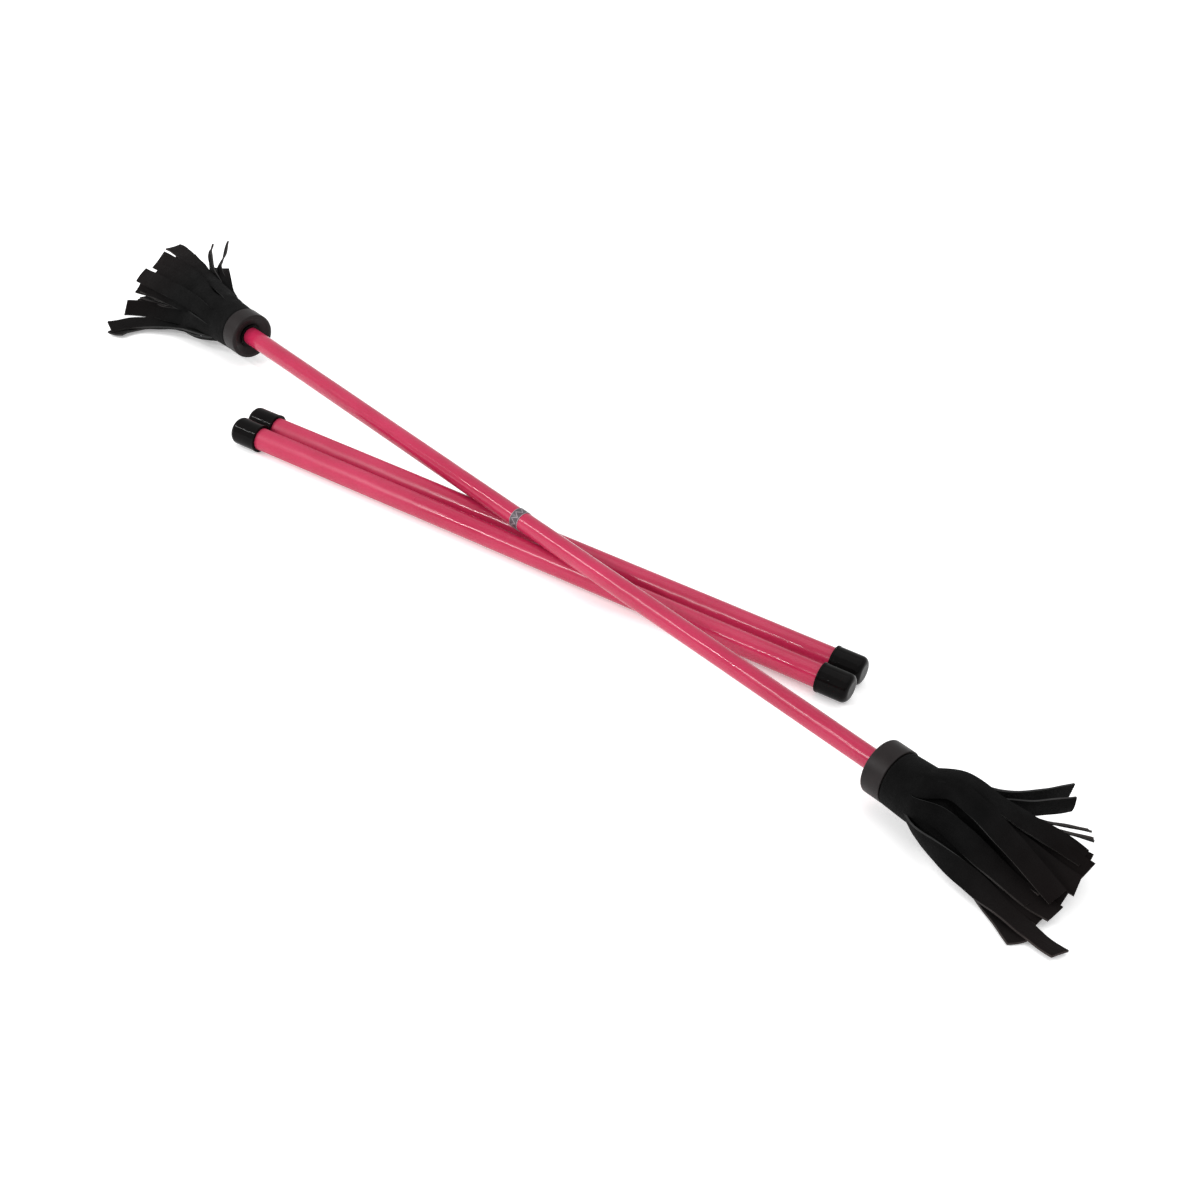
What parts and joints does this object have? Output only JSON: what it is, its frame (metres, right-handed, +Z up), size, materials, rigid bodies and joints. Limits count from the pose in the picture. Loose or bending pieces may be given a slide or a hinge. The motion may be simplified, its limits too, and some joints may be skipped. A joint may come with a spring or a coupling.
{
  "type": "juggling stick set",
  "caption": "Tasselled centre stick lying level across plain hand sticks; a rubber-sleeved flower-stick set for juggling and coordination practice.",
  "frame": {"origin": "middle of the set's footprint, on the surface that the two hand sticks lie on", "axes": "+X along the front hand stick, from the left caps to the right caps; +Y from the front hand stick towards the rear one; +Z up"},
  "size_m": [0.8778, 0.3548, 0.0389],
  "materials": {
    "pink_silicone": "gloss",
    "black_vinyl": "gloss",
    "collar_rubber": "satin",
    "black_suede": "matte",
    "dowel_wood": "matte",
    "cloth_tape": "matte",
    "band_foil": "satin"
  },
  "bodies": {
    "hand_stick_front": {"hand_core_front": "dowel_wood", "hand_sleeve_front": "pink_silicone", "hand_cap_front_left": "black_vinyl", "hand_cap_front_right": "black_vinyl"},
    "hand_stick_rear": {"hand_core_rear": "dowel_wood", "hand_sleeve_rear": "pink_silicone", "hand_cap_rear_left": "black_vinyl", "hand_cap_rear_right": "black_vinyl"},
    "centre_stick": {"centre_core": "dowel_wood", "centre_sleeve": "pink_silicone", "centre_band": "band_foil", "end_cap_left": "black_vinyl", "binding_tape_left": "cloth_tape", "fringe_inner_left": "black_suede", "fringe_outer_left": "black_suede", "collar_left": "collar_rubber", "end_cap_right": "black_vinyl", "binding_tape_right": "cloth_tape", "fringe_inner_right": "black_suede", "fringe_outer_right": "black_suede", "collar_right": "collar_rubber"}
  },
  "joints": [
    {"name": "rear_slide", "type": "slide", "parent": "hand_stick_front", "child": "hand_stick_rear", "axis": [1, 0.007, 0], "range_m": [-0.1, 0.1]},
    {"name": "centre_lift", "type": "slide", "parent": "hand_stick_front", "child": "centre_stick", "axis": [0, 0, 1], "range_m": [0, 0.3]}
  ]
}
